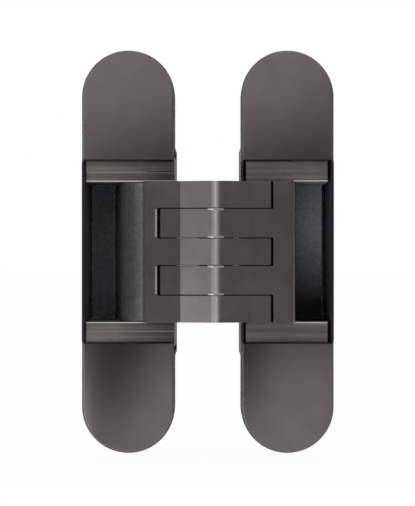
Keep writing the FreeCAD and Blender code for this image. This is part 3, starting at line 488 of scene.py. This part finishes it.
def washer_rule():
    """A pair of thin ring washers with rounded rims on each of two fingers, all about the Z axis."""
    tree, size = new_rule("washer_rule", ("Bore Radius", "Rim Radius", "Thickness", "Rounding",
                                          "Finger Pitch", "Washer Pitch"))
    wide = add(tree, "ShaderNodeMath", {"operation": "SUBTRACT"}, _0=size["Rim Radius"],
               _1=size["Bore Radius"]).outputs[0]
    both = add(tree, "ShaderNodeMath", {"operation": "ADD"}, _0=size["Rim Radius"],
               _1=size["Bore Radius"]).outputs[0]
    middle = add(tree, "ShaderNodeMath", {"operation": "MULTIPLY"}, _0=both, _1=0.5).outputs[0]
    section = add(tree, "GeometryNodeCurvePrimitiveQuadrilateral", Width=wide, Height=size["Thickness"])
    round_off = add(tree, "GeometryNodeFilletCurve", {"mode": "POLY"}, Curve=section.outputs[0], Count=3,
                    Radius=size["Rounding"])
    circle = add(tree, "GeometryNodeCurvePrimitiveCircle", Resolution=128, Radius=middle)
    ring = add(tree, "GeometryNodeCurveToMesh", Curve=circle.outputs[0],
               Profile_Curve=round_off.outputs[0]).outputs[0]
    for pitch in (size["Washer Pitch"], size["Finger Pitch"]):
        low = add(tree, "ShaderNodeMath", {"operation": "MULTIPLY"}, _0=pitch, _1=-0.5).outputs[0]
        row = add(tree, "GeometryNodeMeshLine", Count=2,
                  Start_Location=add(tree, "ShaderNodeCombineXYZ", X=0.0, Y=0.0, Z=low).outputs[0],
                  Offset=add(tree, "ShaderNodeCombineXYZ", X=0.0, Y=0.0, Z=pitch).outputs[0])
        ring = add(tree, "GeometryNodeInstanceOnPoints", Points=row.outputs[0], Instance=ring).outputs[0]
    end_rule(tree, (ring,), steel_finish)
    return tree


def grown(name, tree, sizes, place):
    """The mesh that a tree makes with these sizes in millimetres, put where the piece goes, as an object
    of its own."""
    piece = bpy.data.objects.new(name, bpy.data.meshes.new(name))
    bpy.context.collection.objects.link(piece)
    modifier = piece.modifiers.new(name, "NODES")
    modifier.node_group = tree
    for socket in tree.interface.items_tree:
        if socket.in_out == "INPUT":
            modifier[socket.identifier] = sizes[socket.name] * MM
    graph = bpy.context.evaluated_depsgraph_get()
    mesh = bpy.data.meshes.new_from_object(piece.evaluated_get(graph), depsgraph=graph)
    piece.modifiers.clear()
    piece.data = mesh
    mesh.materials.pop(index=0)
    mesh.polygons.foreach_set("material_index", [0] * len(mesh.polygons))
    mesh.transform(place)
    shape = bmesh.new()
    shape.from_mesh(mesh)
    bmesh.ops.recalc_face_normals(shape, faces=shape.faces)
    shape.to_mesh(mesh)
    shape.free()
    mesh.shade_smooth()
    mesh.set_sharp_from_angle(angle=SHARP_FROM)
    return piece


def round_rims(piece, width):
    bevel = piece.modifiers.new("rounded_rim", "BEVEL")
    bevel.width = width
    bevel.segments = 3
    bevel.limit_method = "ANGLE"
    bevel.angle_limit = RIM_FROM
    bevel.harden_normals = True


# A cap is almost half a millimetre smaller all round than the solid that it replaces, but for its
# straight edge, which is where the solid's is. All sizes are in millimetres.
CAP_INSET = 0.45
CAP_THICKNESS = 1.5
CAP_RIM = 0.35

cap_tree = cap_rule()
for leaf, body in (("frame", "frame_leaf"), ("door", "door_leaf")):
    for end, turned in (("top", 0), ("bottom", pi)):
        node = leaf + "_" + end + "_cover"
        low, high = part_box(node)
        width, height = (high[0] - low[0]) / MM, (high[2] - low[2]) / MM
        foot = low[2] if end == "top" else high[2]
        seat = Matrix.Translation(((low[0] + high[0]) / 2, low[1] + CAP_THICKNESS * MM, foot))
        cap = grown(leaf + "_" + end + "_cap", cap_tree, {
            "Width": width - 2 * CAP_INSET, "Straight": height - width / 2, "Thickness": CAP_THICKNESS,
            "Bow Radius": 250.0, "Peg Radius": 1.2, "Peg Length": 5.0, "Peg Spread": width / 2 - 3.6,
            "Peg Rise": 7.9, "Peg Top": height - 4.6}, seat @ Matrix.Rotation(turned, 4, "Y"))
        round_rims(cap, CAP_RIM * MM)
        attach(cap, body)
        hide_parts(node)

washers = grown("knuckle_thrust_washers", washer_rule(), {
    "Bore Radius": 3.05, "Rim Radius": 5.65, "Thickness": 0.65, "Rounding": 0.12,
    "Finger Pitch": 18.014, "Washer Pitch": 8.69}, Matrix.Translation((PIN_X, PIN_Y, 0)))
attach(washers, "door_arm")
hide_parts("knuckle_washers")


# The table, white to the camera but for the shadow that the object leaves on it. It is just low enough
# for the door leaf to come down when its height is set, and its front edge is close before the hinge, so
# that little of it shows in the caps.
ROOM_BELOW = 2.6 * MM
TABLE_FRONT, TABLE_BACK, TABLE_SIDE = -0.05, 4, 3
GLOW_SHARE = 0.93


def table():
    low = cad_box[0][2] - ROOM_BELOW
    mesh = bpy.data.meshes.new("table")
    corners = [(-TABLE_SIDE, TABLE_FRONT, low), (TABLE_SIDE, TABLE_FRONT, low),
               (TABLE_SIDE, TABLE_BACK, low), (-TABLE_SIDE, TABLE_BACK, low)]
    mesh.from_pydata(corners, [], [(0, 1, 2, 3)])
    floor = bpy.data.objects.new("table", mesh)
    bpy.context.collection.objects.link(floor)
    material, tree = new_material("white_laminate_table")
    path = add(tree, "ShaderNodeLightPath")
    seen = add(tree, "ShaderNodeMath", {"operation": "MAXIMUM"}, _0=path.outputs["Is Camera Ray"],
               _1=path.outputs["Is Glossy Ray"])
    seen = add(tree, "ShaderNodeMath", {"operation": "MAXIMUM"}, _0=seen.outputs[0],
               _1=path.outputs["Is Transmission Ray"])
    share = add(tree, "ShaderNodeMath", {"operation": "MULTIPLY"}, _0=seen.outputs[0], _1=GLOW_SHARE)
    lit = add(tree, "ShaderNodeBsdfDiffuse", Color=linear("#F4F4F4"))
    glow = add(tree, "ShaderNodeEmission", Color=(1, 1, 1, 1), Strength=1.0)
    mix = add(tree, "ShaderNodeMixShader", _0=share.outputs[0], _1=lit.outputs[0], _2=glow.outputs[0])
    finish_material(tree, mix)
    mesh.materials.append(material)


def studio_card(name, azimuth, distance, corners, shade):
    """A card beside or behind the camera, facing the hinge, that shows only as a field in the metal.
    Its corners are given across and up from its middle; azimuth 0 is in front, positive to the right."""
    mesh = bpy.data.meshes.new(name)
    mesh.from_pydata([(x, 0, z) for x, z in corners], [], [range(len(corners))])
    mesh.transform(Matrix.Translation(MIDDLE) @ Matrix.Rotation(radians(azimuth), 4, "Z")
                   @ Matrix.Translation((0, -distance, 0)))
    card = bpy.data.objects.new(name, mesh)
    bpy.context.collection.objects.link(card)
    material, tree = new_material(name + "_felt")
    finish_material(tree, add(tree, "ShaderNodeBsdfDiffuse", Color=linear(shade)))
    mesh.materials.append(material)
    card.visible_camera = False
    card.visible_diffuse = False
    card.visible_shadow = False


def softbox(name, azimuth, elevation, distance, side, power):
    """A square area lamp aimed at the hinge; azimuth 0 is straight in front, positive to the right."""
    a, e = radians(azimuth), radians(elevation)
    away = Vector((sin(a) * cos(e), -cos(a) * cos(e), sin(e)))
    lamp = bpy.data.lights.new(name, "AREA")
    lamp.shape, lamp.size, lamp.energy = "SQUARE", side, power
    holder = bpy.data.objects.new(name, lamp)
    bpy.context.collection.objects.link(holder)
    holder.location = MIDDLE + away * distance
    holder.rotation_euler = away.to_track_quat("Z", "Y").to_euler()


def world_light():
    world = bpy.data.worlds.new("white_room")
    bpy.context.scene.world = world
    world.use_nodes = True
    background = world.node_tree.nodes["Background"]
    background.inputs["Color"].default_value = (1, 1, 1, 1)
    background.inputs["Strength"].default_value = 1.0


table()
world_light()
studio_card("front_card", azimuth=-0.7, distance=2.0, shade="#0C0C0C",
            corners=((-0.58, -0.42), (-0.04, -0.25), (0.1, -0.17), (0.52, -0.16), (0.52, 0.25),
                     (-0.58, 0.165)))
studio_card("right_card", azimuth=66, distance=1.6, shade="#A2A2A2",
            corners=((-2.05, -0.7), (2.05, -0.7), (2.05, 0.7), (-2.05, 0.7)))
softbox("low_left_box", azimuth=-22, elevation=-14, distance=0.7, side=0.12, power=0.29)


# The camera looks straight at the open leaves, level with their middle. The picture's width in pixels,
# times the size of a pixel at the hinge in millimetres, gives the width of its view.
PICTURE_WIDTH, PIXEL_MM = 415, 0.3220
VIEW_WIDTH = PICTURE_WIDTH * PIXEL_MM * MM
CAMERA_DISTANCE = 430 * MM
SENSOR_WIDTH = 36
SHIFT_X, SHIFT_Y = -0.0008, -0.003


def camera():
    lens = bpy.data.cameras.new("camera")
    lens.sensor_fit, lens.sensor_width = "HORIZONTAL", SENSOR_WIDTH
    lens.lens = SENSOR_WIDTH * CAMERA_DISTANCE / VIEW_WIDTH
    lens.shift_x, lens.shift_y = SHIFT_X, SHIFT_Y
    holder = bpy.data.objects.new("camera", lens)
    bpy.context.collection.objects.link(holder)
    away = Vector((0, -1, 0))
    holder.location = MIDDLE + away * CAMERA_DISTANCE
    holder.rotation_euler = away.to_track_quat("Z", "Y").to_euler()
    bpy.context.scene.camera = holder


camera()
bpy.context.scene.view_settings.view_transform = "Standard"
